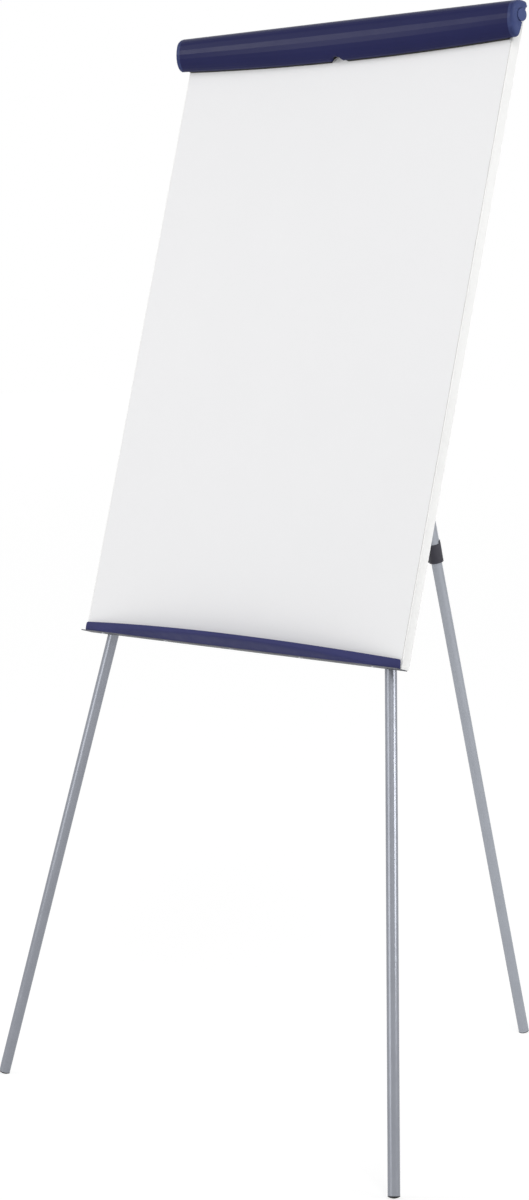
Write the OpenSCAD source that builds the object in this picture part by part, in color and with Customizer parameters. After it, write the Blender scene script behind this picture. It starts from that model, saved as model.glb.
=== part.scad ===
// Flipchart easel: a leaning drywipe board on two fold-back front legs and one telescopic rear leg.
// X runs to the viewer's right, Y to the back and Z up; the origin is on the floor under the middle.

/* [Stance] */
// Lean of the board back from vertical, degrees
board_tilt = 14.4; // [8:0.2:20]
// Height of the board's lower front edge above the floor
board_lift = 740; // [600:1:900]
// Sideways splay of each front leg, measured in the board's plane, degrees
leg_splay = 10.1; // [4:0.1:14]
// Angle by which the front legs stand back from the board's plane, degrees
leg_lean = 4.2; // [2:0.1:8]
// Angle between the opened rear leg and the board, degrees
rear_open = 30.2; // [24:0.2:36]

/* [Board] */
// Overall width of the board
board_w = 700; // [600:1:800]
// Height of the board from its lower edge to the top of the top rail
board_h = 978; // [900:1:1100]
// Thickness of the enamelled steel writing sheet
sheet_t = 0.8; // [0.5:0.1:1.5]
// Thickness of the backing board behind the sheet
backing_t = 5.2; // [4:0.1:8]
// Depth of the edge trims from front to back
trim_depth = 17; // [14:0.5:22]
// Thickness of the trim's outer wall
trim_wall = 2; // [1.5:0.1:3]
// Shadow gap between the sheet and the trim
shadow_gap = 0.8; // [0.6:0.1:2]
// Height of the top rail
rail_h = 28; // [26:1:40]

/* [Clamp bar] */
// How far each end of the clamp bar stands past the board's side
bar_overhang = 17; // [16:0.5:24]
// How far the bar's rounded front stands ahead of the board
bar_depth = 27; // [24:0.5:32]
// Height of the bar above its fullest line
bar_rise = 18.5; // [16:0.5:22]
// Drop of the lower lip below the fullest line, at the ends
bar_drop = 37.5; // [36:0.5:42]
// Extra drop of the lower lip in the middle of the bar
bar_bow = 8.6; // [0:0.2:12]
// Wall thickness of the bar
bar_wall = 2.6; // [2:0.1:3.5]

/* [Pen tray] */
// Reach of the tray ahead of the board in the middle
tray_reach = 33.6; // [28:0.2:44]
// Height of the tray's rim at its ends
tray_lip = 13.8; // [11:0.2:17]
// Extra height of the rim in the middle
tray_rise = 4.9; // [0:0.1:8]
// Rise of the tray's underside towards its lip, in the middle
tray_heel = 11.4; // [6:0.2:14]

/* [Legs] */
// Diameter of the front legs and of the rear leg's lower tube
tube_d = 18; // [16:0.5:22]
// Diameter of the rear leg's upper tube
outer_d = 22; // [20:0.5:26]
// Wall of the lower tubes
tube_wall = 1.25; // [1:0.05:1.5]
// Distance from the rear hinge to the lower end of the rear leg's upper tube
outer_reach = 770; // [700:5:780]
// Length of lower tube that stays inside the upper tube
tube_overlap = 106; // [100:1:120]

/* [Hidden] */
$fn = 64;

// Finishes as seen on the object
navy = [0.17, 0.17, 0.33];
cap_blue = [0.20, 0.22, 0.42];
tray_blue = [0.25, 0.26, 0.43];
board_white = [0.93, 0.93, 0.94];
trim_white = [0.96, 0.96, 0.96];
silver = [0.62, 0.63, 0.66];
steel = [0.45, 0.45, 0.47];
charcoal = [0.25, 0.25, 0.28];
rubber_black = [0.08, 0.08, 0.09];
backing_grey = [0.62, 0.62, 0.60];

// Board build-up, front to back
panel_t = sheet_t + backing_t;
panel_w = board_w - 2 * (trim_wall + shadow_gap);
panel_h = board_h - rail_h;
trim_front = 0.6;
trim_web_t = 1.2;
trim_web_w = 14;
trim_lip_w = 6;
frame_w = board_w - 2 * trim_wall;
rail_lip_h = 10;
rail_lip_t = 2;

// Bottom rail: a thin strip under the board with an upstand behind it
strip_t = 1.5;
strip_front = 10;
strip_rear = 13.5;
upstand_t = 1.2;
upstand_h = 76;
upstand_w = frame_w - 2 * trim_web_w - 2;

// Slot in the front of the top rail, in which the pad pegs slide
slot_z = panel_h + 14;
slot_mouth = 6;
slot_wide = 12;
slot_lip = 2.5;
slot_depth = 8;
peg_x = 140;
peg_r = 2.6;
peg_reach = 13;
peg_foot = 18;
peg_play = 0.3;

// Clamp bar sections, as distance back from the sheet's face and height up the board. The caps are led
// into the shell by its inner edge, which is set back at each end.
bar_half = board_w / 2 + bar_overhang;
bar_pivot = [-9, board_h - 1.5];
bar_mid_z = board_h + 3.5;
bar_back = 1.5;
lip_ahead = 6;
upper_power = 2.25;
lower_power = 1.9;
arc_steps = 8;
cap_t = 12;
cap_edge = 7;
shell_half = bar_half - cap_t;
lead_in = 0.8;
notch_r = 16;
notch_depth = 5.5;
stop_tab_x = [2, 10];
stop_tab_y = [-5, 2];
stop_tab_z = [10, 13];

// Moulded ribs that divide the inside of the bar into bays
rib_count = 4;
rib_pitch = 2 * shell_half / (rib_count + 1);
rib_t = 1.6;
rib_depth = 3;
rib_draft = 0.4;
bay_steps = 3;

// Rubber strip behind the bar's lip
grip_play = 0.4;
grip_h = 9;
grip_half = board_w / 2 - 5;
grip_steps = 12;
grip_relief = 5;

// Clamp pivots: a plate on each trim, and a button whose head is set into the end cap
button_r = 9.4;
button_t = 5;
button_proud = 2;
button_gap = 0.5;
button_play = 0.3;
pin_r = 3;
running = 0.06;
bracket_t = 2.5;
bracket_r = 8.5;
bracket_front = 0.8;
bracket_rear = 7.6;
bracket_drop = 20;
bracket_screw_y = (bracket_front + bracket_rear) / 2;
bracket_screw_z = [bar_pivot[1] - 15, bar_pivot[1] - 2];

// Pen tray: the lip bows out in plan, and its rim and underside rise towards the middle
tray_half = board_w / 2 - 2;
tray_end = 3.2;
tray_floor = 2.2;
tray_wall = 2.2;
tray_flare = 0.5;
tray_corner_r = 2.5;
tray_steps = 24;
seat_gap = 0.5;
rim_r = tray_wall / 2;
heel_end = 0.6;
heel_share = 0.35;
heel_steps = 4;
tray_screw_pitch = (board_w - 100) / 4;
tray_screw_x = [for (i = [-2:2]) i * tray_screw_pitch];

// Fasteners: radii of the shanks, and [radius, height] of the heads
screw_r = 1.5;
rivet_r = 2;
tray_screw_head = [3.2, 1.6];
bracket_screw_head = [3, 1.4];
rivet_head = [3.6, 1.4];
rear_screw_head = [4, 1.8];
leg_pin_head = [5, 1.6];
rear_pin_head = [6.5, 2];
screw_bite = 2;

// Front-leg hinge, in board coordinates
hinge_x = board_w / 2 - 49.7;
hinge_y = 20.5;
hinge_z = 45;
tube_r = tube_d / 2;
tube_bore = tube_r - tube_wall;
head_half = 10;
cheek_gap = 0.2;
cheek_t = 2.5;
cheek_r = 10;
base_t = 2.5;
base_half = 24;
base_low = 36;
base_high = 26;
neck = 16;
spigot = 44;
stop_gap = 0.35;
rivet_x = 18.5;
rivet_z = [-27, 17];
base_front = panel_t + upstand_t - hinge_y;
base_rear = base_front + base_t;

// Rubber feet: a thin flange and a dome worn flat where it meets the floor
dome_r = 16;
dome_flat = 0.4;
dome_step = 0.3;
dome_bite = 0.15;
flange_t = 1.2;
plug_len = 24;
foot_seat = sqrt(pow(dome_r, 2) - pow(tube_r - dome_step, 2));

// Where each front leg ends, measured along the leg from its hinge
leg_cos = sin(leg_lean) * sin(board_tilt) + cos(leg_lean) * cos(leg_splay) * cos(board_tilt);
hinge_height = board_lift + hinge_z * cos(board_tilt) - hinge_y * sin(board_tilt);
leg_dome = (hinge_height - dome_r + dome_flat) / leg_cos;
leg_end = leg_dome + foot_seat - flange_t;

// Rear-leg hinge, in board coordinates
rear_y = 32;
rear_z = panel_h - 56;
outer_r = outer_d / 2;
outer_bore = outer_r - 1.5;
rear_head_half = 12;
rear_pin_r = 4;
rear_cheek_t = 3;
rear_cheek_r = 12;
rear_neck = 18;
rear_spigot = 26;
heel_h = 26;
rear_base_half = 34;
rear_base_t = 3;
rear_base_low = rear_z - 36;
rear_base_top = panel_h - rail_lip_h - 1;
rear_rivet_z = [rear_base_low + 12, rear_base_top - 13];
rear_bite = 4;
rear_flange_t = 2.5;
rear_step = 8;
rear_margin = 6;
rear_screw_x = 26;
rear_lean = rear_open - board_tilt;
rear_height = board_lift + rear_z * cos(board_tilt) - rear_y * sin(board_tilt);
rear_dome = (rear_height - dome_r + dome_flat) / cos(rear_lean);
rear_end = rear_dome + foot_seat - flange_t;
inner_top = outer_reach - tube_overlap;
bush_h = 14;

// Clamp collar at the lower end of the rear leg's upper tube
collar_top = outer_reach - 20;
collar_low = outer_reach + 12;
collar_wall = 1.6;
tab_h = 4;
tab_w = 12;
collar_foot = 1.1;
lug_x = 18.5;
lug_z = outer_reach + 6.5;
lug_r = 5;
lug_t = 3;
lug_gap = 10;
lever_pin_r = 2;
lever_h = 36;
lever_w = 14;
lever_t = 4;
lever_eye_r = 4.2;
lever_side = 1.5;
lever_play = 0.3;

// Height of the floor's cutting block, larger than any foot
under = 40;

// The origin sits midway between the front and rear feet
front_foot_y = hinge_z * sin(board_tilt) + hinge_y * cos(board_tilt)
    - leg_dome * (cos(leg_lean) * cos(leg_splay) * sin(board_tilt) - sin(leg_lean) * cos(board_tilt));
rear_foot_y = rear_z * sin(board_tilt) + rear_y * cos(board_tilt) + rear_dome * sin(rear_lean);
board_y = -(front_foot_y + rear_foot_y) / 2;

// Board coordinates: X right, Y back from the sheet's face, Z up the board from its lower edge
module on_board() {
    translate([0, board_y, board_lift])
        rotate([-board_tilt, 0, 0])
            children();
}

// One side of a mirrored pair: 1 is the viewer's right, -1 the left
module side(s) {
    mirror([s < 0 ? 1 : 0, 0, 0])
        children();
}

// Hinge frame of the right front leg, with X along the pin
module at_leg_hinge() {
    translate([hinge_x, hinge_y, hinge_z])
        rotate([0, -leg_splay, 0])
            children();
}

// Front-leg coordinates: the pin is at the origin and the leg hangs along -Z
module on_leg(s) {
    on_board() side(s) at_leg_hinge() rotate([leg_lean, 0, 0])
        children();
}

// Rear-leg coordinates, made the same way
module on_rear() {
    on_board() translate([0, rear_y, rear_z]) rotate([rear_open, 0, 0])
        children();
}

// Block from one corner to the opposite one
module block(low, high) {
    translate(low) cube(high - low);
}

// Cylinder along X from x0 to x1
module rod_x(r, x0, x1) {
    translate([x0, 0, 0]) rotate([0, 90, 0]) cylinder(r = r, h = x1 - x0);
}

// Profile given as [back, up] points, drawn along X from x0 to x1
module along_x(x0, x1) {
    translate([x0, 0, 0]) rotate([90, 0, 90]) linear_extrude(x1 - x0) children();
}

// Tube that hangs from z = -top to z = -end
module hanging_tube(r, bore, top, end) {
    translate([0, 0, -end]) difference() {
        cylinder(r = r, h = end - top);
        translate([0, 0, -1]) cylinder(r = bore, h = end - top + 2);
    }
}

// Fastener along Z: its shank goes down from the seat at z = 0 and its head stands on it
module fastener(shank_r, shank, head) {
    translate([0, 0, -shank]) cylinder(r = shank_r, h = shank + head[1] / 2, $fn = 32);
    cylinder(r = head[0], h = head[1], $fn = 32);
}

// Hinge pin along X with a head outside each cheek
module headed_pin(r, reach, head) {
    rod_x(r, -reach - head[1] / 2, reach + head[1] / 2);
    rod_x(head[0], reach, reach + head[1]);
    rod_x(head[0], -reach - head[1], -reach);
}

// Writing sheet and backing board
module writing_sheet() {
    color(board_white) on_board()
        block([-panel_w / 2, 0, 0], [panel_w / 2, sheet_t, panel_h]);
}

module backing_board() {
    color(backing_grey) on_board() difference() {
        block([-frame_w / 2, sheet_t, 0], [frame_w / 2, panel_t, panel_h]);
        at_rear_rivets() cylinder(r = rivet_r, h = 2 * rear_bite, center = true, $fn = 32);
    }
}

// Edge trim: outer wall, web behind the panel and a return lip at the back
module side_trim(s) {
    color(trim_white) on_board() side(s) difference() {
        union() {
            block([frame_w / 2, trim_front, 0], [board_w / 2, trim_depth, board_h]);
            block([frame_w / 2 - trim_web_w, panel_t, 0], [frame_w / 2, panel_t + trim_web_t, panel_h]);
            block([frame_w / 2 - trim_lip_w, trim_depth - trim_web_t, 0], [frame_w / 2, trim_depth, panel_h]);
        }
        at_bracket_screws() rod_x(screw_r, -2 * trim_wall, trim_wall, $fn = 32);
    }
}

module side_trim_left() { side_trim(-1); }
module side_trim_right() { side_trim(1); }

// Seats of the rivets that hold one front-leg bracket, in the hinge frame, with Z to the back
module at_leg_rivets() {
    for (x = [-rivet_x, rivet_x])
        for (z = rivet_z)
            translate([x, base_rear, z]) rotate([-90, 0, 0])
                children();
}

module bottom_rail() {
    rivet_hole = base_t + upstand_t + 1;
    color(steel) on_board() difference() {
        union() {
            block([-board_w / 2, -strip_front, -strip_t], [board_w / 2, strip_rear, 0]);
            block([-upstand_w / 2, panel_t, 0], [upstand_w / 2, panel_t + upstand_t, upstand_h]);
        }
        for (s = [-1, 1])
            side(s) at_leg_hinge() at_leg_rivets()
                translate([0, 0, -rivet_hole]) cylinder(r = rivet_r, h = rivet_hole, $fn = 32);
        at_tray_screws() cylinder(r = screw_r, h = 4 * strip_t, center = true, $fn = 32);
    }
}

// Sections of the pen tray, as [back, up] points, with the corner at the heel drawn as a soft bend
function mix(a, b, t) = a + (b - a) * t;
function bend(a, corner, b) = [for (i = [0:heel_steps])
    let (t = i / heel_steps, p = mix(corner, a, heel_share), q = mix(corner, b, heel_share))
    mix(mix(p, corner, t), mix(corner, q, t), t)];
function tray_section(x, fall) =
    let (bow = 1 - pow(x / tray_half, 2),
        reach = mix(tray_end, tray_reach, bow),
        seat = [-min(strip_front, reach - seat_gap), 0],
        seat_in = [-min(strip_front, reach - tray_wall - seat_gap), tray_floor],
        heel = [-reach, mix(heel_end, tray_heel, bow)],
        rim = [-reach - tray_flare + rim_r, tray_lip + tray_rise * bow - rim_r - fall])
    concat([[0, 0], seat], bend(seat, heel, rim - [rim_r, 0]),
        [for (a = [180:-45:0]) rim + rim_r * [cos(a), sin(a)]],
        bend(rim + [rim_r, 0], heel + [tray_wall, tray_floor], seat_in), [seat_in, [0, tray_floor]]);

// Stations along the tray as [x, fall of the rim], with the rim rounded down at each end
tray_straight = tray_half - tray_corner_r;
tray_rounds = [for (a = [45, 90]) [tray_straight + tray_corner_r * sin(a), tray_corner_r * (1 - cos(a))]];
tray_stations = concat([for (r = reversed(tray_rounds)) [-r[0], r[1]]],
    [for (i = [0:tray_steps]) [(2 * i / tray_steps - 1) * tray_straight, 0]], tray_rounds);

// Seats of the tray's screws under the strip, with Z down
module at_tray_screws() {
    for (x = tray_screw_x)
        translate([x, -strip_front / 2, -strip_t]) rotate([180, 0, 0])
            children();
}

module pen_tray() {
    color(tray_blue) on_board() difference() {
        swept([for (s = tray_stations) at_x(s[0], tray_section(s[0], s[1]))]);
        at_tray_screws() translate([0, 0, -strip_t - screw_bite])
            cylinder(r = screw_r, h = screw_bite + 1, $fn = 32);
    }
}

module tray_screws() {
    color(steel) on_board()
        at_tray_screws() fastener(screw_r, strip_t + screw_bite, tray_screw_head);
}

// Top rail: an extrusion with a T-slot in front, a hollow behind it and a lip behind the panel
module rail_profile() {
    difference() {
        union() {
            translate([0, panel_h]) square([trim_depth, rail_h]);
            translate([panel_t, panel_h - rail_lip_h]) square([rail_lip_t, rail_lip_h + 1]);
        }
        translate([-1, slot_z - slot_mouth / 2]) square([slot_lip + 2, slot_mouth]);
        translate([slot_lip, slot_z - slot_wide / 2]) square([slot_depth - slot_lip, slot_wide]);
        translate([slot_depth + 2, panel_h + 2]) square([trim_depth - slot_depth - 4, rail_h - 4]);
    }
}

module top_rail() {
    color(silver) on_board() difference() {
        union() {
            along_x(-frame_w / 2, frame_w / 2) intersection() {
                rail_profile();
                translate([-1, panel_h]) square([trim_depth + 2, rail_h + 1]);
            }
            along_x(-upstand_w / 2, upstand_w / 2) intersection() {
                rail_profile();
                translate([-1, panel_h - rail_lip_h]) square([trim_depth + 2, rail_lip_h]);
            }
        }
        at_rear_screws() translate([0, 0, -rear_flange_t - screw_bite - 1])
            cylinder(r = rivet_r, h = 2 * screw_bite, $fn = 32);
    }
}

// Clamp pivot bracket: a flat plate on the trim with an eye that stands ahead of the board
module bracket_plate() {
    translate(bar_pivot) circle(r = bracket_r);
    translate(bar_pivot - [0, bracket_r]) square([bracket_rear - bar_pivot[0], 2 * bracket_r]);
    translate([bracket_front, bar_pivot[1] - bracket_drop])
        square([bracket_rear - bracket_front, bracket_drop]);
}

// Places of the right bracket's screws on the trim's side
module at_bracket_screws() {
    for (z = bracket_screw_z)
        translate([board_w / 2, bracket_screw_y, z])
            children();
}

// Right-hand end of the clamp bar's pivot line
module at_pivot() {
    translate([0, bar_pivot[0], bar_pivot[1]])
        children();
}

module clamp_bracket(s) {
    color(charcoal) on_board() side(s) difference() {
        along_x(board_w / 2, board_w / 2 + bracket_t) bracket_plate();
        at_pivot() rod_x(pin_r, board_w / 2 - 1, board_w / 2 + bracket_t + 1);
        at_bracket_screws() rod_x(screw_r, -1, bracket_t + 1, $fn = 32);
    }
}

module clamp_bracket_left() { clamp_bracket(-1); }
module clamp_bracket_right() { clamp_bracket(1); }

module clamp_bracket_screws() {
    color(steel) on_board()
        for (s = [-1, 1])
            side(s) at_bracket_screws() translate([bracket_t, 0, 0]) rotate([0, 90, 0])
                fastener(screw_r, bracket_t + trim_wall, bracket_screw_head);
}

// Pivot button: a shank fixed in the bracket, with a round head set into the end cap
module pivot_button(s) {
    head_x = bar_half + button_proud - button_t;
    color(cap_blue) on_board() side(s) at_pivot() {
        rod_x(pin_r, board_w / 2, head_x + 1);
        rod_x(button_r, head_x, head_x + button_t);
    }
}

module pivot_button_left() { pivot_button(-1); }
module pivot_button_right() { pivot_button(1); }

// Front-leg bracket: a riveted base with two cheeks and a pad that stops the leg's forward swing
module leg_bracket(s) {
    pad_y = -(tube_r / cos(leg_lean)) + (base_low - 10) * tan(leg_lean) - stop_gap;
    color(steel) on_board() side(s) at_leg_hinge() difference() {
        union() {
            block([-base_half, base_front, -base_low], [base_half, base_rear, base_high]);
            block([-tube_r + 2, base_rear - 0.1, -base_low], [tube_r - 2, pad_y, -base_low + 10]);
            for (x = [-head_half - cheek_gap - cheek_t, head_half + cheek_gap]) {
                block([x, base_rear - 0.1, -cheek_r], [x + cheek_t, 0, cheek_r]);
                rod_x(cheek_r, x, x + cheek_t);
            }
        }
        rod_x(pin_r, -base_half, base_half);
        at_leg_rivets() cylinder(r = rivet_r, h = 4 * base_t, center = true, $fn = 32);
    }
}

module leg_bracket_left() { leg_bracket(-1); }
module leg_bracket_right() { leg_bracket(1); }

module leg_bracket_rivets() {
    color(silver) on_board()
        for (s = [-1, 1])
            side(s) at_leg_hinge() at_leg_rivets() fastener(rivet_r, base_t + upstand_t, rivet_head);
}

module leg_pin(s) {
    color(steel) on_board() side(s) at_leg_hinge()
        headed_pin(pin_r, head_half + cheek_gap + cheek_t, leg_pin_head);
}

module leg_pin_left() { leg_pin(-1); }
module leg_pin_right() { leg_pin(1); }

// Front-leg knuckle: a round head on the pin, a neck and a spigot inside the tube
module leg_knuckle(s) {
    color(charcoal) on_leg(s) difference() {
        union() {
            rod_x(tube_r, -head_half, head_half);
            translate([0, 0, -neck]) cylinder(r = tube_r, h = neck);
            translate([0, 0, -spigot]) cylinder(r = tube_bore, h = spigot);
        }
        rod_x(pin_r + running, -base_half, base_half);
    }
}

module leg_knuckle_left() { leg_knuckle(-1); }
module leg_knuckle_right() { leg_knuckle(1); }

module leg_tube(s) {
    color(silver) on_leg(s) hanging_tube(tube_r, tube_bore, neck, leg_end);
}

module leg_tube_left() { leg_tube(-1); }
module leg_tube_right() { leg_tube(1); }

// Rubber foot on a tube that ends at z = -end, before the floor cuts it flat; the dome's poles face sideways
module foot_body(end) {
    translate([0, 0, -end - flange_t]) cylinder(r = tube_r, h = flange_t);
    translate([0, 0, -end]) cylinder(r = tube_bore, h = plug_len);
    translate([0, 0, -end - flange_t]) intersection() {
        translate([0, 0, foot_seat]) rotate([90, 0, 0]) sphere(r = dome_r);
        translate([0, 0, -dome_r]) cylinder(r = dome_r, h = dome_r + dome_bite);
    }
}

// Everything below the floor
module below_floor() {
    block([-board_w, -board_w * 2, -under], [board_w, board_w * 2, 0]);
}

module leg_foot(s) {
    color(rubber_black) difference() {
        on_leg(s) foot_body(leg_end);
        below_floor();
    }
}

module leg_foot_left() { leg_foot(-1); }
module leg_foot_right() { leg_foot(1); }

// Rear-leg bracket: base on the backing board, flange on the rail and two cheeks
module rear_cheek() {
    polygon([[panel_t, rear_base_low], [panel_t + rear_base_t, rear_base_low],
        [rear_y, rear_z - rear_cheek_r], [rear_y, rear_z + rear_cheek_r],
        [trim_depth + rear_flange_t, board_h - rear_margin], [trim_depth, board_h - rear_margin],
        [trim_depth, rear_base_top], [panel_t, rear_base_top]]);
    translate([rear_y, rear_z]) circle(r = rear_cheek_r);
}

// Seats of the screws that hold the bracket to the rail, with Z to the back
module at_rear_screws() {
    for (x = [-rear_screw_x, rear_screw_x])
        translate([x, trim_depth + rear_flange_t, panel_h + rail_h / 2]) rotate([-90, 0, 0])
            children();
}

// Places of the screws that hold the bracket to the backing board, on the board's rear face
module at_rear_rivets() {
    for (x = [-rear_screw_x, rear_screw_x])
        for (z = rear_rivet_z)
            translate([x, panel_t, z]) rotate([-90, 0, 0])
                children();
}

module rear_bracket() {
    cheek_in = rear_head_half + cheek_gap;
    color(charcoal) on_board() difference() {
        union() {
            block([-rear_base_half, panel_t, rear_base_low],
                [rear_base_half, panel_t + rear_base_t, rear_base_top]);
            block([-rear_base_half, trim_depth, rear_base_top - rear_step],
                [rear_base_half, trim_depth + rear_flange_t, board_h - rear_margin]);
            block([-rear_base_half, panel_t, rear_base_top - rear_step],
                [rear_base_half, trim_depth + rear_flange_t, rear_base_top]);
            for (x = [-cheek_in - rear_cheek_t, cheek_in])
                along_x(x, x + rear_cheek_t) rear_cheek();
        }
        translate([0, rear_y, rear_z]) rod_x(rear_pin_r, -rear_base_half, rear_base_half);
        at_rear_screws() cylinder(r = rivet_r, h = 4 * rear_flange_t, center = true, $fn = 32);
        at_rear_rivets() cylinder(r = rivet_r, h = 4 * rear_base_t, center = true, $fn = 32);
    }
}

module rear_bracket_screws() {
    color(silver) on_board() {
        at_rear_screws() fastener(rivet_r, rear_flange_t + screw_bite, rear_screw_head);
        at_rear_rivets() translate([0, 0, rear_base_t])
            fastener(rivet_r, rear_base_t + rear_bite, rivet_head);
    }
}

module rear_hinge_pin() {
    color(steel) on_board() translate([0, rear_y, rear_z])
        headed_pin(rear_pin_r, rear_head_half + cheek_gap + rear_cheek_t, rear_pin_head);
}

// Clamp bar section: two superellipse arcs that meet at the fullest line, the lower one ending in the lip
function bar_lower(x) = bar_drop + bar_bow * (1 - pow(x / shell_half, 2));
function fullness(t, power) = pow(max(0, 1 - pow(t, power)), 1 / power);
function bar_top_arc(inset) = [for (i = [0:arc_steps])
    let (t = cos(90 * i / arc_steps), reach = bar_depth - bar_back - inset)
    [-bar_back - reach * fullness(t, upper_power), bar_mid_z + (bar_rise - inset) * t]];
function bar_low_arc(drop, inset) = [for (i = [1:arc_steps])
    let (t = sin(90 * i / arc_steps), reach = bar_depth - lip_ahead - inset)
    [-lip_ahead - reach * fullness(t, lower_power), bar_mid_z - (drop - inset) * t]];
function bar_outline(drop, inset) = concat(bar_top_arc(inset), bar_low_arc(drop, inset));
function reversed(list) = [for (i = [len(list) - 1:-1:0]) list[i]];
function bar_section(x, rib) =
    let (lead = abs(x) < shell_half ? 0 : lead_in * sign(x))
    concat(at_x(x - lead, bar_outline(bar_lower(x), bar_wall + rib)),
        at_x(x, reversed(bar_outline(bar_lower(x), 0))));

// Stations along the bar as [x, height of the rib there]: each bay but the first starts with a rib
function rib_stations(x) = [[x - rib_t / 2 - rib_draft, 0], [x - rib_t / 2, rib_depth],
    [x + rib_t / 2, rib_depth], [x + rib_t / 2 + rib_draft, 0]];
function bay_stations(i) = concat(
    i == 0 ? [[-shell_half, 0]] : rib_stations(-shell_half + i * rib_pitch),
    [for (k = [1:bay_steps - 1]) [-shell_half + (i + k / bay_steps) * rib_pitch, 0]]);
bar_stations = concat([for (i = [0:rib_count]) each bay_stations(i)], [[shell_half, 0]]);

// Solid swept along X through equal sections, each a list of [x, back, up] points. An open shell has
// sections whose second half doubles back on the first, and a strip across its wall closes each end.
function at_x(x, section) = [for (p = section) [x, p[0], p[1]]];
module swept(sections, shell = false) {
    n = len(sections[0]);
    last = len(sections) - 1;
    sides = [for (i = [0:last - 1]) for (j = [0:n - 1])
        let (a = i * n + j, b = i * n + (j + 1) % n)
        each [[a, b, b + n], [a, b + n, a + n]]];
    strip = [for (j = [0:n / 2 - 2]) each [[j + 1, j, n - 1 - j], [j + 1, n - 1 - j, n - 2 - j]]];
    first_end = shell ? strip : [[for (j = [n - 1:-1:0]) j]];
    last_end = [for (face = first_end) [for (j = reversed(face)) j + last * n]];
    polyhedron([for (s = sections) each s], concat(sides, first_end, last_end));
}

// Thumb notch in the middle of the lip
module notch(r) {
    translate([0, 0, bar_mid_z - bar_lower(0) + notch_depth - notch_r])
        rotate([90, 0, 0]) cylinder(r = r, h = 2 * bar_depth);
}

module clamp_bar() {
    color(navy) on_board() difference() {
        swept([for (s = bar_stations) bar_section(s[0], s[1])], shell = true);
        notch(notch_r);
    }
}

// End cap: the bar's section closed off, with a rounded edge
module cap_slice(x, inset) {
    along_x(x, x + 0.1) polygon(bar_outline(bar_drop, inset));
}

module cap_body() {
    hull() {
        cap_slice(shell_half, 0);
        for (a = [0:18:90])
            cap_slice(bar_half - cap_edge * (1 - sin(a)) - 0.1, cap_edge * (1 - cos(a)));
    }
}

module clamp_cap(s) {
    color(cap_blue) on_board() side(s) difference() {
        union() {
            cap_body();
            block([bar_half - stop_tab_x[1], stop_tab_y[0], bar_mid_z + stop_tab_z[0]],
                [bar_half - stop_tab_x[0], stop_tab_y[1], bar_mid_z + stop_tab_z[1]]);
        }
        at_pivot() {
            rod_x(pin_r + running, shell_half - 1, bar_half + 1);
            rod_x(button_r + button_gap, bar_half + button_proud - button_t - button_play, bar_half + 1);
        }
    }
}

module clamp_cap_left() { clamp_cap(-1); }
module clamp_cap_right() { clamp_cap(1); }

// Rubber strip behind the bar's lip, which presses on the pad
function grip_section(x) =
    let (z = bar_mid_z - bar_lower(x))
    [[-lip_ahead, z], [-lip_ahead, z + grip_h], [-grip_play, z + grip_h], [-grip_play, z]];

module clamp_grip() {
    stations = [for (i = [0:grip_steps]) (2 * i / grip_steps - 1) * grip_half];
    color(rubber_black) on_board() difference() {
        swept([for (x = stations) at_x(x, grip_section(x))]);
        notch(notch_r + grip_relief);
    }
}

// Pad peg: a foot held in the rail's slot and a round peg for a punched pad
module pad_peg(s) {
    half_foot = peg_foot / 2;
    wide = slot_wide / 2 - peg_play;
    mouth = slot_mouth / 2 - peg_play;
    color(charcoal) on_board() side(s) translate([peg_x, 0, slot_z]) {
        block([-half_foot, slot_lip + peg_play, -wide], [half_foot, slot_depth - peg_play, wide]);
        block([-half_foot, -1, -mouth], [half_foot, slot_lip + peg_play + 0.1, mouth]);
        translate([0, -1, 0]) rotate([90, 0, 0]) cylinder(r = peg_r, h = peg_reach - 1, $fn = 32);
    }
}

module pad_peg_left() { pad_peg(-1); }
module pad_peg_right() { pad_peg(1); }

// Rear-leg knuckle: head on the pin, a heel that stops the opening, a neck and a spigot
module rear_knuckle() {
    color(charcoal) on_rear() difference() {
        union() {
            rod_x(outer_r, -rear_head_half, rear_head_half);
            block([-rear_head_half, -outer_r, 0], [rear_head_half, 0, heel_h]);
            translate([0, 0, -rear_neck]) cylinder(r = outer_r, h = rear_neck);
            translate([0, 0, -rear_neck - rear_spigot]) cylinder(r = outer_bore, h = rear_spigot + 1);
        }
        rod_x(rear_pin_r + running, -rear_base_half, rear_base_half);
    }
}

module rear_outer_tube() {
    color(silver) on_rear() hanging_tube(outer_r, outer_bore, rear_neck, outer_reach);
}

// Clamp collar: a tapered sleeve with a finger tab, and two lugs for the lever
module rear_collar() {
    high = collar_low - collar_top;
    color(charcoal) on_rear() difference() {
        union() {
            translate([0, 0, -collar_low])
                cylinder(r1 = outer_r + collar_foot, r2 = outer_r + collar_wall, h = high);
            rotate([0, 0, 45]) translate([0, 0, -collar_top - 3]) intersection() {
                cylinder(r = outer_r + collar_wall - 0.3, h = tab_h + 3);
                translate([outer_r / 2, -tab_w / 2, 0]) cube([outer_d, tab_w, tab_h + 3]);
            }
            for (y = [-lug_gap / 2 - lug_t, lug_gap / 2]) {
                translate([-lug_x, y, -lug_z]) rotate([-90, 0, 0]) cylinder(r = lug_r, h = lug_t);
                block([-lug_x, y, -lug_z - lug_r], [-outer_r / 2, y + lug_t, -lug_z + lug_r]);
            }
        }
        translate([0, 0, -outer_reach]) cylinder(r = outer_r, h = outer_reach);
        translate([0, 0, -collar_low - 1]) cylinder(r = tube_r + running, h = high + 2);
        translate([-lug_x, -lug_gap, -lug_z]) rotate([-90, 0, 0]) cylinder(r = lever_pin_r, h = 2 * lug_gap);
    }
}

module lever_pin() {
    reach = lug_gap / 2 + lug_t;
    color(steel) on_rear() translate([-lug_x, -reach - 0.8, -lug_z]) rotate([-90, 0, 0])
        cylinder(r = lever_pin_r, h = 2 * reach + 1.6);
}

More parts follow.
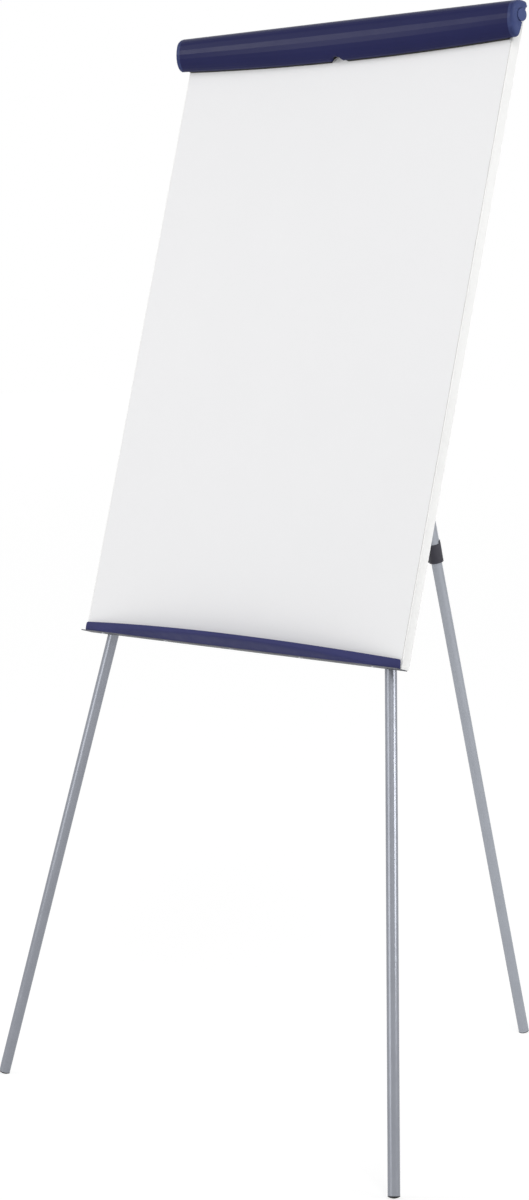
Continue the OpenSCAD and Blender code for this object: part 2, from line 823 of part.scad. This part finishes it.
// Clamp lever: a round eye on the pin and a handle that lies up along the collar
module rear_lever() {
    eye_half = lug_gap / 2 - lever_play;
    color(charcoal) on_rear() translate([-lug_x, 0, -lug_z]) difference() {
        union() {
            translate([0, -eye_half, 0]) rotate([-90, 0, 0]) cylinder(r = lever_eye_r, h = 2 * eye_half);
            block([lever_side - lever_t, -eye_half, 0], [lever_side, eye_half, lug_r + 3]);
            block([lever_side - lever_t, -lever_w / 2, lug_r + 1], [lever_side, lever_w / 2, lever_h]);
            translate([lever_side - lever_t, 0, lever_h]) rotate([90, 0, 0])
                cylinder(r = lever_t / 2, h = lever_w, center = true, $fn = 32);
        }
        translate([0, -lug_gap, 0]) rotate([-90, 0, 0]) cylinder(r = lever_pin_r + running, h = 2 * lug_gap);
    }
}

module rear_inner_tube() {
    color(silver) on_rear() hanging_tube(tube_r, tube_bore, inner_top, rear_end);
}

// Guide bush on the top of the lower tube
module rear_bush() {
    color(charcoal) on_rear() {
        translate([0, 0, -inner_top]) cylinder(r = outer_bore - running, h = bush_h);
        translate([0, 0, -inner_top - plug_len]) cylinder(r = tube_bore, h = plug_len + 1);
    }
}

module rear_foot() {
    color(rubber_black) difference() {
        on_rear() foot_body(rear_end);
        below_floor();
    }
}

writing_sheet();
backing_board();
side_trim_left();
side_trim_right();
bottom_rail();
pen_tray();
tray_screws();
top_rail();
clamp_bracket_left();
clamp_bracket_right();
clamp_bracket_screws();
pivot_button_left();
pivot_button_right();
leg_bracket_left();
leg_bracket_right();
leg_bracket_rivets();
leg_pin_left();
leg_pin_right();
rear_bracket();
rear_bracket_screws();
rear_hinge_pin();
clamp_bar();
clamp_cap_left();
clamp_cap_right();
clamp_grip();
pad_peg_left();
pad_peg_right();
leg_knuckle_left();
leg_tube_left();
leg_foot_left();
leg_knuckle_right();
leg_tube_right();
leg_foot_right();
rear_knuckle();
rear_outer_tube();
rear_collar();
lever_pin();
rear_lever();
rear_inner_tube();
rear_bush();
rear_foot();
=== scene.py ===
import math

import bmesh
import bpy
from mathutils import Matrix, Vector


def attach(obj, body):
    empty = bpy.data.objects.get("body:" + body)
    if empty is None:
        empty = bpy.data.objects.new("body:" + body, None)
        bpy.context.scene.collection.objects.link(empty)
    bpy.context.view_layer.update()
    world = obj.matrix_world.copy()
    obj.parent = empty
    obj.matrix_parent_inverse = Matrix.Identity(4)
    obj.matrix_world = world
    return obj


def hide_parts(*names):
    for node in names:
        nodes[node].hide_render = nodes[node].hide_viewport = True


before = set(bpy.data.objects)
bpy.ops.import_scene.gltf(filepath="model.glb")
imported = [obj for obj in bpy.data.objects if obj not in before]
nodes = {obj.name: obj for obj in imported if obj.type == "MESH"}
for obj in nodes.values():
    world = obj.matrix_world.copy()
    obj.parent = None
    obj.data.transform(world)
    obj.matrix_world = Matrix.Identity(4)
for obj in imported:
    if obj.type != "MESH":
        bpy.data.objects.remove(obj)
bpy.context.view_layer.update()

# Board placement, as in the solids: lower front edge and lean, and the front legs' splay
BOARD_Y = -0.297886
BOARD_Z = 0.740
TILT = math.radians(14.4)
SPLAY = math.radians(10.1)
# Board coordinates (metres; y back from the sheet, z up the board) to the shared frame
ON_BOARD = Matrix.Translation((0.0, BOARD_Y, BOARD_Z)) @ Matrix.Rotation(-TILT, 4, "X")

WHITE = (1, 1, 1, 1)


def lin(r, g, b):
    """A colour given as 0-255 sRGB, as linear RGBA."""
    out = []
    for v in (r, g, b):
        v /= 255
        out.append(v / 12.92 if v <= 0.04045 else ((v + 0.055) / 1.055) ** 2.4)
    return (*out, 1.0)


def pair(name):
    """Names of a left and a right node."""
    return [name + "_left", name + "_right"]


def maths(tree, operation, *values):
    """Result of a Math node; each value is a number or another node's socket."""
    step = tree.nodes.new("ShaderNodeMath")
    step.operation = operation
    for socket, value in zip(step.inputs, values):
        if isinstance(value, float):
            socket.default_value = value
        else:
            tree.links.new(value, socket)
    return step.outputs[0]


# Materials

NOISE_ROUGHNESS = 0.55
# Spans of noise values: soft patches, the usual spread, and the rare peaks that make marks
PATCHES = (0.35, 0.7)
SPREAD = (0.3, 0.7)
PEAKS = (0.62, 0.72)


class Shader:
    """A Principled material with procedural variation in object coordinates."""

    def __init__(self, name, color, rough, metallic=0.0, specular=0.5, ior=1.5):
        self.mat = bpy.data.materials.new(name)
        self.mat.use_nodes = True
        self.tree = self.mat.node_tree
        self.inputs = self.tree.nodes["Principled BSDF"].inputs
        self.inputs["Base Color"].default_value = color
        self.inputs["Roughness"].default_value = rough
        self.inputs["Metallic"].default_value = metallic
        self.inputs["Specular IOR Level"].default_value = specular
        self.inputs["IOR"].default_value = ior
        self.color = color
        self.coords = self.tree.nodes.new("ShaderNodeTexCoord").outputs["Object"]

    def node(self, kind, **values):
        """A new node, with values for its inputs or its own settings."""
        n = self.tree.nodes.new(kind)
        for key, value in values.items():
            if key in n.inputs:
                n.inputs[key].default_value = value
            else:
                setattr(n, key, value)
        return n

    def link(self, a, b):
        self.tree.links.new(a, b)

    def stretched(self, scale):
        """Object coordinates scaled by axis, which draws a noise out along the axis that is scaled down."""
        m = self.node("ShaderNodeMapping", Scale=scale)
        self.link(self.coords, m.inputs["Vector"])
        return m.outputs["Vector"]

    def noise(self, scale, detail=3.0, vector=None):
        n = self.node("ShaderNodeTexNoise", Scale=scale, Detail=detail, Roughness=NOISE_ROUGHNESS)
        self.link(vector or self.coords, n.inputs["Vector"])
        return n.outputs["Fac"]

    def ranged(self, value, span, low, high):
        """Low to high as the value goes through the span."""
        limits = {"From Min": span[0], "From Max": span[1], "To Min": low, "To Max": high}
        r = self.node("ShaderNodeMapRange", **limits)
        self.link(value, r.inputs["Value"])
        return r.outputs["Result"]

    def blend(self, fac, other):
        """Blend the base colour towards another one."""
        base = self.inputs["Base Color"]
        m = self.node("ShaderNodeMix", data_type="RGBA")
        first, second = [s for s in m.inputs if s.type == "RGBA"]
        self.link(fac, m.inputs["Factor"])
        if base.links:
            self.link(base.links[0].from_socket, first)
        else:
            first.default_value = self.color
        second.default_value = other
        self.link([s for s in m.outputs if s.type == "RGBA"][0], base)
        return self

    def vary(self, other, scale, span=PATCHES):
        """Blend the base colour towards another one in soft patches."""
        return self.blend(self.ranged(self.noise(scale), span, 0.0, 1.0), other)

    def along_x(self, span, other):
        """Blend the base colour towards another one with distance from the middle of the part."""
        parts = self.node("ShaderNodeSeparateXYZ")
        self.link(self.coords, parts.inputs["Vector"])
        distance = maths(self.tree, "ABSOLUTE", parts.outputs["X"])
        return self.blend(self.ranged(distance, span, 0.0, 1.0), other)

    def scratches(self, scale, stretch, other, amount):
        """Fine marks drawn out along one direction."""
        marks = self.noise(scale, 2.0, self.stretched(stretch))
        return self.blend(self.ranged(marks, PEAKS, 0.0, amount), other)

    def patchy(self, scale, low, high):
        """Let the roughness drift between two values."""
        self.link(self.ranged(self.noise(scale, 4.0), SPREAD, low, high), self.inputs["Roughness"])
        return self

    def grain(self, scale, strength, distance=0.0002, vector=None):
        """Fine surface relief."""
        b = self.node("ShaderNodeBump", Strength=strength, Distance=distance)
        self.link(self.noise(scale, 2.0, vector), b.inputs["Height"])
        self.link(b.outputs["Normal"], self.inputs["Normal"])
        return self


enamel = Shader("enamel_white", lin(236, 236, 237), 0.45, ior=1.15)
enamel.vary(lin(235, 235, 236), 3.0).patchy(9.0, 0.42, 0.47).grain(1200.0, 0.01)

backing = Shader("fibreboard_grey", lin(206, 205, 201), 0.8, specular=0.2)
backing.vary(lin(196, 194, 189), 60.0).vary(lin(214, 213, 210), 700.0, (0.55, 0.75))
backing.patchy(30.0, 0.72, 0.9).grain(1500.0, 0.35, 0.0003)

trim = Shader("trim_white", lin(244, 244, 243), 0.42, ior=1.2)
trim.vary(lin(241, 241, 240), 12.0).patchy(40.0, 0.38, 0.48).grain(2500.0, 0.08)

grey_steel = Shader("grey_steel", lin(96, 97, 103), 0.5, metallic=0.2, specular=0.25)
grey_steel.vary(lin(84, 85, 91), 20.0).patchy(60.0, 0.44, 0.6).grain(3500.0, 0.15)

tray_blue = Shader("tray_blue", lin(58, 60, 103), 0.5, ior=1.15)
tray_blue.vary(lin(56, 58, 99), 14.0).patchy(50.0, 0.44, 0.58).grain(4200.0, 0.2, 0.0001)

navy = Shader("navy_bar", lin(37, 39, 79), 0.31, ior=1.14)
navy.vary(lin(35, 37, 75), 8.0).patchy(30.0, 0.29, 0.33).grain(3800.0, 0.04, 0.00008)

# Distance from the middle of the bar over which the caps are painted paler towards their ends: painted
# light for the end faces lit from the right
CAP_PAINTED_LIGHT_SPAN = (0.3605, 0.370)
cap_blue = Shader("cap_blue", lin(44, 52, 94), 0.4, ior=1.2)
# Painted light: the paler blue towards the ends of the caps and pivot buttons stands in for light on their
# end faces
cap_blue.along_x(CAP_PAINTED_LIGHT_SPAN, lin(76, 87, 130)).vary(lin(58, 68, 112), 60.0, (0.5, 0.8))
cap_blue.patchy(80.0, 0.36, 0.46).grain(4200.0, 0.12, 0.0001)

rail = Shader("rail_aluminium", lin(186, 188, 192), 0.36, metallic=0.9)
rail.vary(lin(172, 174, 179), 10.0).patchy(35.0, 0.3, 0.44)
rail.grain(900.0, 0.25, 0.0001, rail.stretched((0.02, 1.0, 1.0)))

charcoal_metal = Shader("charcoal_metal", lin(62, 62, 68), 0.45, metallic=0.2, specular=0.4)
charcoal_metal.vary(lin(52, 52, 58), 40.0).patchy(80.0, 0.38, 0.55).grain(3500.0, 0.2)

charcoal = Shader("charcoal_plastic", lin(62, 61, 70), 0.5, specular=0.3)
charcoal.vary(lin(54, 53, 61), 45.0).patchy(90.0, 0.42, 0.6).grain(4200.0, 0.35, 0.00012)

zinc = Shader("zinc_steel", lin(176, 178, 182), 0.32, metallic=1.0)
zinc.vary(lin(158, 160, 160), 120.0).patchy(200.0, 0.24, 0.42).grain(2600.0, 0.15, 0.00008)

rubber = Shader("rubber_black", lin(26, 26, 28), 0.75, specular=0.25)
rubber.vary(lin(38, 37, 37), 90.0).patchy(160.0, 0.66, 0.85).grain(2800.0, 0.4, 0.0002)


def lacquer(name, shade):
    """Silver lacquer on tube, its colour given as 0-255 sRGB."""
    darker = lin(*(v - 4 for v in shade))
    lighter = lin(*(v + 10 for v in shade))
    paint = Shader(name, lin(*shade), 0.22, metallic=0.5, ior=1.2)
    paint.vary(darker, 25.0).patchy(70.0, 0.19, 0.26).grain(6000.0, 0.04, 0.00006)
    return paint.scratches(240.0, (1.0, 1.0, 0.05), lighter, 0.25)


# The rear leg's tubes are painted a shade lighter than the front ones: painted light for the light they
# catch, the real lacquer being the same
silver = lacquer("silver_lacquer", (146, 149, 157))
rear_silver_painted_lit = lacquer("silver_lacquer_rear_painted_lit", (166, 170, 178))

PAINT = {
    enamel: ["writing_sheet"],
    backing: ["backing_board"],
    trim: pair("side_trim"),
    grey_steel: ["bottom_rail", *pair("leg_bracket")],
    tray_blue: ["pen_tray"],
    navy: ["clamp_bar"],
    cap_blue: [*pair("clamp_cap"), *pair("pivot_button")],
    rail: ["top_rail"],
    charcoal_metal: pair("clamp_bracket"),
    charcoal: [
        *pair("pad_peg"),
        *pair("leg_knuckle"),
        "rear_bracket",
        "rear_knuckle",
        "rear_collar",
        "rear_lever",
        "rear_bush",
    ],
    zinc: [*pair("leg_pin"), "rear_hinge_pin", "lever_pin"],
    rubber: ["clamp_grip", *pair("leg_foot"), "rear_foot"],
    silver: pair("leg_tube"),
    rear_silver_painted_lit: ["rear_outer_tube", "rear_inner_tube"],
}
for shader, names in PAINT.items():
    for name in names:
        data = nodes[name].data
        data.materials.clear()
        data.materials.append(shader.mat)

# Smooth shading up to an angle, and soft edges by their width in metres

SMOOTH_ANGLE = math.radians(32)
BEVEL_ANGLE = math.radians(40)
BEVEL_SEGMENTS = 2
BEVELS = {
    0.0003: ["bottom_rail", *pair("clamp_bracket")],
    0.0004: ["top_rail", "lever_pin", *pair("side_trim"), *pair("leg_bracket"), *pair("pad_peg")],
    0.0005: ["pen_tray", "rear_collar", *pair("leg_pin"), *pair("leg_knuckle")],
    0.0006: ["rear_bracket", "rear_knuckle", "rear_lever", "rear_hinge_pin"],
    0.0008: pair("pivot_button"),
}


def smooth(obj):
    obj.data.shade_smooth()
    obj.data.set_sharp_from_angle(angle=SMOOTH_ANGLE)


def soften(obj, width):
    bevel = obj.modifiers.new("soft_edges", "BEVEL")
    bevel.width = width
    bevel.segments = BEVEL_SEGMENTS
    bevel.limit_method = "ANGLE"
    bevel.angle_limit = BEVEL_ANGLE
    bevel.use_clamp_overlap = True


for obj in nodes.values():
    smooth(obj)
for width, names in BEVELS.items():
    for name in names:
        soften(nodes[name], width)

# Screws with a cross recess and blind rivets, in place of the solids' plain heads

# Cross recess in head radii, and the angles of a fastener's corners, some of them the recess's own
CROSS_REACH, CROSS_HALF = 0.58, 0.15
CORNER = math.degrees(math.atan(CROSS_HALF / CROSS_REACH))
QUARTER = [0, CORNER / 2, CORNER, 24, 34.5, 45, 55.5, 66, 90 - CORNER, 90 - CORNER / 2]
ANGLES = [math.radians(90 * q + a) for q in range(4) for a in QUARTER]
# Degrees that the first head of a set is turned by, and each next one further
FIRST_TURN, NEXT_TURN = 20, 37


def circle(angle):
    return 1.0


def cross(angle):
    near, far = sorted((abs(math.cos(angle)), abs(math.sin(angle))))
    return min(CROSS_REACH / far, CROSS_HALF / max(near, 1e-6))


# Outline from the seat to the middle: form, its share of the head's radius, share of its height
PAN_HEAD = [
    (circle, 1.0, 0.0),
    (circle, 1.0, 0.3),
    (circle, 0.95, 0.58),
    (circle, 0.84, 0.8),
    (circle, 0.7, 0.94),
    (cross, 1.0, 1.0),
    (cross, 0.8, 0.42),
]
BLIND_RIVET = [
    (circle, 1.0, 0.0),
    (circle, 1.0, 0.2),
    (circle, 0.93, 0.5),
    (circle, 0.78, 0.78),
    (circle, 0.58, 0.95),
    (circle, 0.4, 1.0),
    (circle, 0.35, 0.93),
    (circle, 0.33, 0.45),
    (circle, 0.26, 0.52),
]

# Kinds of fastener: outline, head (radius, height) and shank (radius, length)
TRAY_SCREW = (PAN_HEAD, (0.0032, 0.0016), (0.0015, 0.0035))
SIDE_SCREW = (PAN_HEAD, (0.003, 0.0014), (0.0015, 0.0045))
RAIL_SCREW = (PAN_HEAD, (0.004, 0.0018), (0.002, 0.0045))
BASE_SCREW = (PAN_HEAD, (0.0036, 0.0014), (0.002, 0.007))
RIVET = (BLIND_RIVET, (0.0036, 0.0014), (0.002, 0.0037))

# Seats of the heads on the board
TRAY_SEATS = [(x, -0.005, -0.0015) for x in (-0.3, -0.15, 0.0, 0.15, 0.3)]
SIDE_SEATS = [(x, 0.0042, z) for x in (-0.3525, 0.3525) for z in (0.9615, 0.9745)]
RAIL_SEATS = [(x, 0.0195, 0.964) for x in (-0.026, 0.026)]
BASE_SEATS = [(x, 0.009, z) for x in (-0.026, 0.026) for z in (0.87, 0.926)]
# The right front leg's hinge on the board, and its bracket's rivets around it
LEG_HINGE = (0.3003, 0.0205, 0.045)
RIVET_SEATS = [(x, -0.0108, z) for x in (-0.0185, 0.0185) for z in (-0.027, 0.017)]


def rivet_places():
    """Seats of both front-leg brackets' rivets, turned with each leg's splay."""
    hinge = Matrix.Translation(LEG_HINGE) @ Matrix.Rotation(-SPLAY, 4, "Y")
    right = [hinge @ Vector(seat) for seat in RIVET_SEATS]
    return right + [Vector((-v.x, v.y, v.z)) for v in right]


def down(place):
    return (0, 0, -1)


def back(place):
    return (0, 1, 0)


def outward(place):
    return (math.copysign(1, place[0]), 0, 0)


def add_fastener(mesh, seat, turn, outline, head, shank):
    """One closed fastener; seat is the matrix that puts its head, which points up +Z, in place."""
    loops = [[(shank[0], a, -shank[1]) for a in ANGLES], [(shank[0], a, 0.0) for a in ANGLES]]
    for form, share, rise in outline:
        loops.append([(head[0] * share * form(a), a, head[1] * rise) for a in ANGLES])

    def corner(r, a, z):
        return mesh.verts.new(seat @ Vector((r * math.cos(a + turn), r * math.sin(a + turn), z)))

    rings = [[corner(*point) for point in loop] for loop in loops]
    count = len(ANGLES)
    for low, high in zip(rings, rings[1:]):
        for k in range(count):
            mesh.faces.new((low[k], low[(k + 1) % count], high[(k + 1) % count], high[k]))
    tip = corner(0.0, 0.0, -shank[1])
    middle = corner(0.0, 0.0, loops[-1][0][2])
    for k in range(count):
        mesh.faces.new((tip, rings[0][(k + 1) % count], rings[0][k]))
        mesh.faces.new((middle, rings[-1][k], rings[-1][(k + 1) % count]))


def fasteners(name, node, *sets):
    """Fasteners that ride on the board in place of one node; a set is (kind, axis, places)."""
    mesh = bmesh.new()
    for kind, axis, places in sets:
        for i, place in enumerate(places):
            aim = Vector(axis(place)).to_track_quat("Z", "Y").to_matrix().to_4x4()
            seat = ON_BOARD @ Matrix.Translation(place) @ aim
            add_fastener(mesh, seat, math.radians(FIRST_TURN + NEXT_TURN * i), *kind)
    data = bpy.data.meshes.new(name)
    mesh.to_mesh(data)
    mesh.free()
    piece = bpy.data.objects.new(name, data)
    bpy.context.scene.collection.objects.link(piece)
    data.materials.append(zinc.mat)
    smooth(piece)
    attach(piece, "board")
    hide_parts(node)


fasteners("tray_screw_set", "tray_screws", (TRAY_SCREW, down, TRAY_SEATS))
fasteners("clamp_bracket_screw_set", "clamp_bracket_screws", (SIDE_SCREW, outward, SIDE_SEATS))
fasteners(
    "rear_bracket_screw_set",
    "rear_bracket_screws",
    (RAIL_SCREW, back, RAIL_SEATS),
    (BASE_SCREW, back, BASE_SEATS),
)
fasteners("leg_bracket_rivet_set", "leg_bracket_rivets", (RIVET, back, rivet_places()))

# Stage: a pale floor that keeps the shadow, and white all round

FLOOR_SIZE = 80.0
FLOOR_COLOR = (0.86, 0.86, 0.86, 1)
FLOOR_SHADE = (0.30, 0.30, 0.30, 1)
# Glow that tops the lit floor up to white, less where the lamps are bright, so that shadows still show
GLOW_FAR = 0.895
GLOW_DIP = 0.15
GLOW_REACH = 1.6
GLOW_MIDDLE = (0.6, -0.6, 0.0)
WORLD_LIGHT = 0.385


def show(tree, lit, seen, output):
    """Light the part with one shader, and show another to camera, glossy and transmission rays."""
    path = tree.nodes.new("ShaderNodeLightPath")
    sight = path.outputs["Is Camera Ray"]
    for kind in ("Is Glossy Ray", "Is Transmission Ray"):
        sight = maths(tree, "MAXIMUM", sight, path.outputs[kind])
    pick = tree.nodes.new("ShaderNodeMixShader")
    tree.links.new(sight, pick.inputs["Fac"])
    tree.links.new(lit.outputs[0], pick.inputs[1])
    tree.links.new(seen.outputs[0], pick.inputs[2])
    tree.links.new(pick.outputs["Shader"], tree.nodes[output].inputs["Surface"])


def diffuse(tree, color):
    shader = tree.nodes.new("ShaderNodeBsdfDiffuse")
    shader.inputs["Color"].default_value = color
    return shader


def floor_glow(tree):
    """Glow of the floor by distance from the spot where the lamps are brightest."""
    coords = tree.nodes.new("ShaderNodeTexCoord")
    distance = tree.nodes.new("ShaderNodeVectorMath")
    distance.operation = "DISTANCE"
    distance.inputs[1].default_value = GLOW_MIDDLE
    tree.links.new(coords.outputs["Object"], distance.inputs[0])
    reach = maths(tree, "MULTIPLY_ADD", distance.outputs["Value"], 1 / GLOW_REACH, 1.0)
    strength = maths(tree, "SUBTRACT", GLOW_FAR, maths(tree, "DIVIDE", GLOW_DIP, reach))
    glow = tree.nodes.new("ShaderNodeEmission")
    tree.links.new(strength, glow.inputs["Strength"])
    return glow


def make_floor():
    mesh = bpy.data.meshes.new("floor")
    half = FLOOR_SIZE / 2
    corners = [(-half, -half, 0), (half, -half, 0), (half, half, 0), (-half, half, 0)]
    mesh.from_pydata(corners, [], [(0, 1, 2, 3)])
    floor = bpy.data.objects.new("floor", mesh)
    bpy.context.scene.collection.objects.link(floor)
    mat = bpy.data.materials.new("floor_pale")
    mat.use_nodes = True
    tree = mat.node_tree
    tree.nodes.remove(tree.nodes["Principled BSDF"])
    seen = tree.nodes.new("ShaderNodeAddShader")
    tree.links.new(diffuse(tree, FLOOR_SHADE).outputs["BSDF"], seen.inputs[0])
    tree.links.new(floor_glow(tree).outputs["Emission"], seen.inputs[1])
    show(tree, diffuse(tree, FLOOR_COLOR), seen, "Material Output")
    mesh.materials.append(mat)


def make_world():
    world = bpy.data.worlds.new("studio")
    bpy.context.scene.world = world
    world.use_nodes = True
    tree = world.node_tree
    soft = tree.nodes["Background"]
    soft.inputs["Color"].default_value = WHITE
    soft.inputs["Strength"].default_value = WORLD_LIGHT
    plain = tree.nodes.new("ShaderNodeBackground")
    plain.inputs["Color"].default_value = WHITE
    plain.inputs["Strength"].default_value = 1.0
    show(tree, soft, plain, "World Output")


def area(name, place, target, size, watts):
    """A lamp of (width, height) at a place, aimed at a target."""
    data = bpy.data.lights.new(name, "AREA")
    data.energy = watts
    data.shape = "RECTANGLE"
    data.size, data.size_y = size
    lamp = bpy.data.objects.new(name, data)
    bpy.context.scene.collection.objects.link(lamp)
    lamp.location = place
    lamp.rotation_mode = "QUATERNION"
    lamp.rotation_quaternion = (Vector(target) - Vector(place)).to_track_quat("-Z", "Y")


make_floor()
make_world()
# The left lamp makes the highlight along the bar, the front and side ones the stripes on the right leg
area("key", (3.2, -2.4, 3.9), (0.0, 0.0, 0.9), (2.4, 2.4), 96)
area("left", (-2.76, -2.85, 2.5), (0.0, 0.0, 1.4), (1.5, 0.55), 40)
area("front", (-0.8, -4.1, 1.1), (0.0, 0.0, 1.1), (2.4, 1.6), 24)
area("side", (3.28, 0.75, 1.15), (0.0, 0.0, 0.9), (1.8, 0.7), 25)

# Camera at the photograph's angle, fitted to the board, tray, bar and legs in a 529 x 1200 frame
FRAME_HEIGHT_PX = 1200
FOCAL_PX = 2593.0
SENSOR = 36.0
CLIP_END = 200
CAMERA_PLACE = (2.86881, -3.04067, 1.22006)
CAMERA_TURN = math.radians(45.604)
CAMERA_DIP = math.radians(5.828)


def make_camera():
    data = bpy.data.cameras.new("camera")
    camera = bpy.data.objects.new("camera", data)
    bpy.context.scene.collection.objects.link(camera)
    camera.location = CAMERA_PLACE
    level = math.cos(CAMERA_DIP)
    look = Vector((-math.sin(CAMERA_TURN) * level, math.cos(CAMERA_TURN) * level, -math.sin(CAMERA_DIP)))
    camera.rotation_mode = "QUATERNION"
    camera.rotation_quaternion = look.to_track_quat("-Z", "Y")
    data.sensor_width = SENSOR
    data.lens = FOCAL_PX / FRAME_HEIGHT_PX * SENSOR
    data.clip_end = CLIP_END
    bpy.context.scene.camera = camera


make_camera()
bpy.context.scene.view_settings.view_transform = "Standard"
